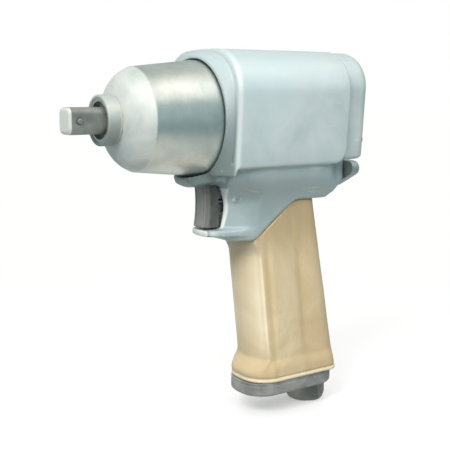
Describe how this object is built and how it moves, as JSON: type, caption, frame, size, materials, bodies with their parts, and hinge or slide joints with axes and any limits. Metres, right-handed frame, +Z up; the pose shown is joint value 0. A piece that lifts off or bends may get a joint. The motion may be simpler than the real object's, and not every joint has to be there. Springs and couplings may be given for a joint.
{
  "type": "impact wrench",
  "caption": "Pistol-grip pneumatic impact wrench with a stepped steel nose, square drive, cast motor housing, tan grip sleeve and bottom air inlet.",
  "frame": {"origin": "centre of the nose collar's front face, on the drive axis", "axes": "-Y points out of the drive square, +Z up away from the handle, X sideways; the outside is mirrored about X = 0"},
  "size_m": [0.0676, 0.1678, 0.1961],
  "materials": {
    "cast_housing": "satin",
    "case_steel": "satin",
    "rear_cover": "satin",
    "grip": "matte",
    "end_plate": "matte",
    "dark_steel": "satin",
    "trigger": "satin",
    "drive_steel": "satin",
    "machined_steel": "satin",
    "bearing_steel": "polished",
    "bronze": "satin",
    "vane": "satin",
    "gasket": "matte",
    "felt": "matte"
  },
  "bodies": {
    "housing": {"motor_housing": "cast_housing", "hammer_case": "case_steel", "anvil_bushing": "bronze", "case_gasket": "gasket", "front_end_plate": "machined_steel", "rear_end_plate": "machined_steel", "cylinder": "machined_steel", "cylinder_dowel": "bearing_steel", "front_bearing_outer_ring": "bearing_steel", "rear_bearing_outer_ring": "bearing_steel", "rear_gasket": "gasket", "rear_cover": "rear_cover", "rear_cover_screws": "dark_steel", "grip_sleeve": "grip", "end_plate": "end_plate", "end_plate_screws": "dark_steel", "exhaust_muffler": "felt", "inlet_bushing": "dark_steel", "inlet_screen": "bronze", "trigger_bushing": "bronze", "bushing_pin": "machined_steel", "valve_seat": "bronze", "throttle_spring": "machined_steel", "reverse_bushing": "bronze", "detent_spring": "machined_steel"},
    "anvil": {"anvil": "drive_steel", "socket_pin_spring": "machined_steel"},
    "socket_pin": {"socket_pin": "bearing_steel"},
    "rotor": {"rotor": "machined_steel", "rotor_vanes": "vane", "hammer_frame": "dark_steel", "hammer_pins": "bearing_steel", "front_bearing_inner_ring": "bearing_steel", "rear_bearing_inner_ring": "bearing_steel"},
    "front_hammer": {"front_hammer": "dark_steel"},
    "rear_hammer": {"rear_hammer": "dark_steel"},
    "front_bearing_balls": {"front_bearing_balls": "bearing_steel", "front_bearing_cage": "bronze"},
    "rear_bearing_balls": {"rear_bearing_balls": "bearing_steel", "rear_bearing_cage": "bronze"},
    "trigger": {"trigger": "trigger", "trigger_stem": "machined_steel"},
    "throttle_valve": {"throttle_valve": "bronze"},
    "reverse_lever": {"reverse_lever": "dark_steel", "reverse_valve": "machined_steel", "lever_screw": "machined_steel"},
    "detent_ball": {"detent_ball": "bearing_steel"}
  },
  "joints": [
    {"name": "anvil_spin", "type": "hinge", "parent": "housing", "child": "anvil", "pos_m": [0, 0, 0], "axis": [0, -1, 0], "continuous": true},
    {"name": "socket_pin_press", "type": "slide", "parent": "anvil", "child": "socket_pin", "axis": [-1, 0, 0], "range_m": [0, 0.001], "stiffness_N_per_m": 300, "deforming": ["socket_pin_spring"]},
    {"name": "rotor_spin", "type": "hinge", "parent": "housing", "child": "rotor", "pos_m": [0, 0.09, 0], "axis": [0, -1, 0], "continuous": true},
    {"name": "front_hammer_swing", "type": "hinge", "parent": "rotor", "child": "front_hammer", "pos_m": [0, 0.0313, 0.0185], "axis": [0, 1, 0], "range_deg": [-7, 7]},
    {"name": "rear_hammer_swing", "type": "hinge", "parent": "rotor", "child": "rear_hammer", "pos_m": [0, 0.041, -0.0185], "axis": [0, 1, 0], "range_deg": [-7, 7]},
    {"name": "front_ball_orbit", "type": "hinge", "parent": "housing", "child": "front_bearing_balls", "pos_m": [0, 0.0706, 0], "axis": [0, -1, 0], "continuous": true},
    {"name": "rear_ball_orbit", "type": "hinge", "parent": "housing", "child": "rear_bearing_balls", "pos_m": [0, 0.1154, 0], "axis": [0, -1, 0], "continuous": true},
    {"name": "trigger_press", "type": "slide", "parent": "housing", "child": "trigger", "axis": [0, 1, 0], "range_m": [0, 0.004], "stiffness_N_per_m": 800, "springref_m": -0.001},
    {"name": "throttle_valve_lift", "type": "slide", "parent": "housing", "child": "throttle_valve", "axis": [0, 1, 0], "range_m": [0, 0.004], "deforming": ["throttle_spring"]},
    {"name": "reverse_turn", "type": "hinge", "parent": "housing", "child": "reverse_lever", "pos_m": [0, 0.1, -0.0315], "axis": [0, 1, 0], "range_deg": [0, 90]},
    {"name": "detent_ball_slide", "type": "slide", "parent": "housing", "child": "detent_ball", "axis": [0, 1, 0], "range_m": [0, 0.0008], "deforming": ["detent_spring"]}
  ],
  "couplings": [
    {"joint": "front_ball_orbit", "follows": "rotor_spin", "ratio": 0.4111},
    {"joint": "rear_ball_orbit", "follows": "rotor_spin", "ratio": 0.4111},
    {"joint": "throttle_valve_lift", "follows": "trigger_press", "ratio": 1}
  ]
}
